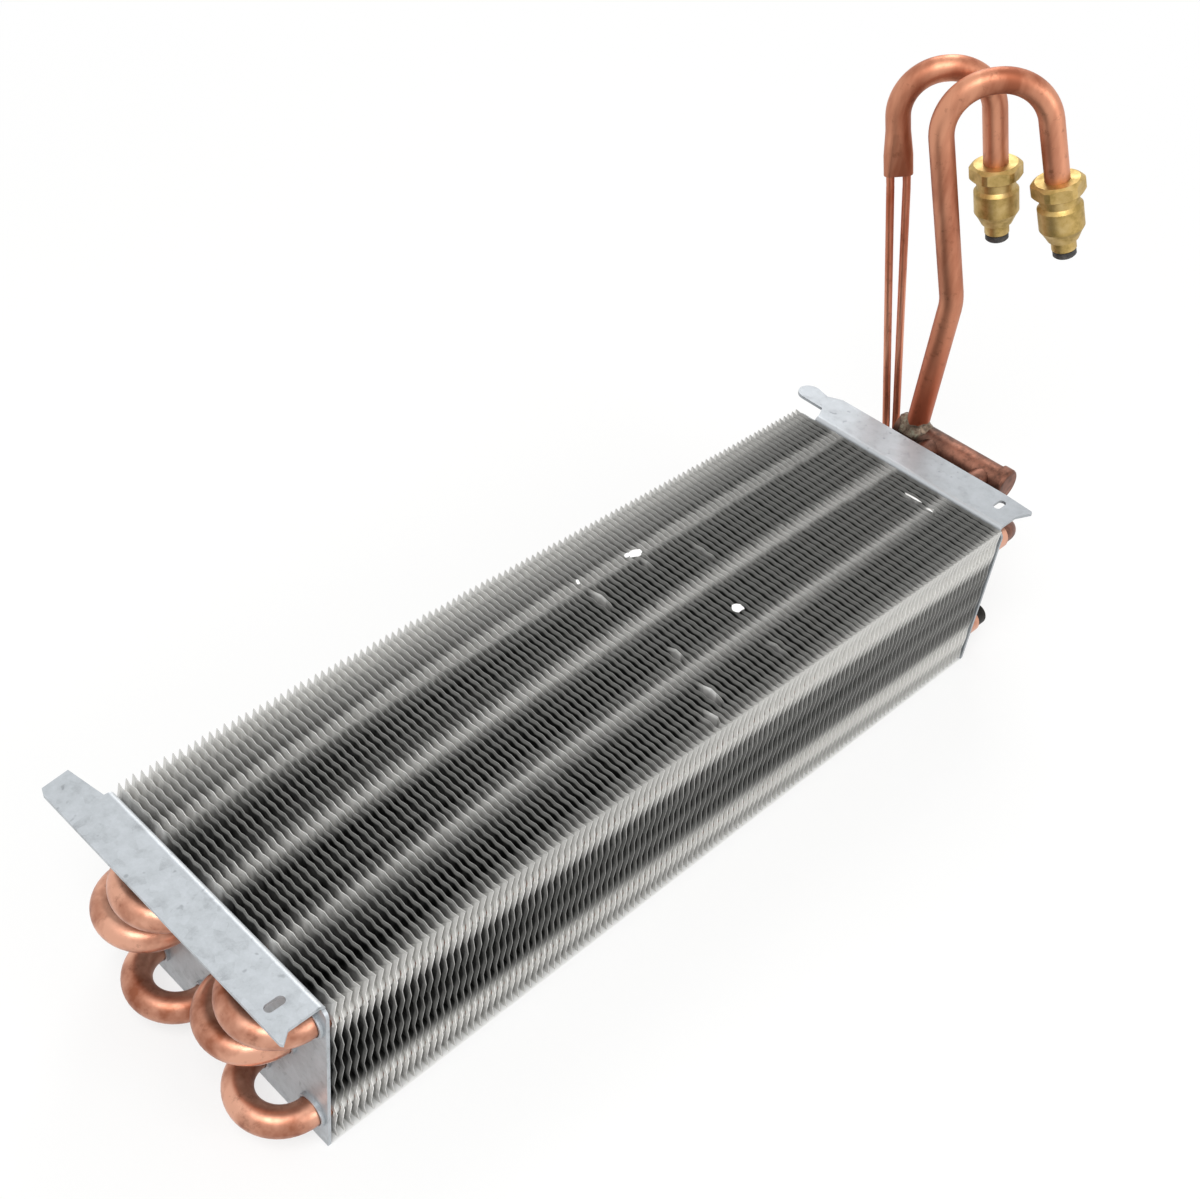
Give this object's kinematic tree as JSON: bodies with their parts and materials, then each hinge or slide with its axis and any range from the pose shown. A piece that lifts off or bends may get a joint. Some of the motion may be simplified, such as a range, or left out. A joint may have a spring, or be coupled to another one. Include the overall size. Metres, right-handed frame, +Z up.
{
  "type": "evaporator core",
  "caption": "Finned-tube evaporator core: copper hairpins through aluminium fins between two folded end plates, with a suction header, a capillary distributor and two brass fittings.",
  "frame": {"origin": "on the seat plane of the two end plates' feet, midway between the plates and midway across the coil", "axes": "X along the tubes from the hairpin bends to the header, Z up, Y across the coil to complete the right-handed set"},
  "size_m": [0.4118, 0.1165, 0.2147],
  "materials": {
    "fins": "thin pressed sheet, dulled",
    "plate": "galvanised, faint mottling",
    "copper": null,
    "heated_copper": null,
    "scorched_copper": null,
    "solder": "dull brazing fillet",
    "brass": "turned brass",
    "plug": "matt"
  },
  "bodies": {
    "root": {"fin_pack": "fins", "end_plate_front": "plate", "end_plate_rear": "plate", "hairpin_top_near": "copper", "hairpin_top_far": "copper", "hairpin_middle_near": "copper", "hairpin_middle_far": "copper", "hairpin_bottom_near": "copper", "hairpin_bottom_far": "copper", "return_bend_near_upper": "copper", "return_bend_near_lower": "copper", "return_bend_far_upper": "copper", "return_bend_far_lower": "copper", "outlet_stub_near": "heated_copper", "outlet_stub_far": "heated_copper", "suction_header": "heated_copper", "header_cap_near": "heated_copper", "header_cap_far": "heated_copper", "suction_solder": "solder", "suction_tube": "copper", "distributor_tube": "copper", "capillary_near": "copper", "capillary_far": "copper", "inlet_stub_near": "scorched_copper", "inlet_stub_far": "copper", "suction_fitting": "brass", "suction_fitting_plug": "plug", "distributor_fitting": "brass", "distributor_fitting_plug": "plug"}
  },
  "joints": []
}
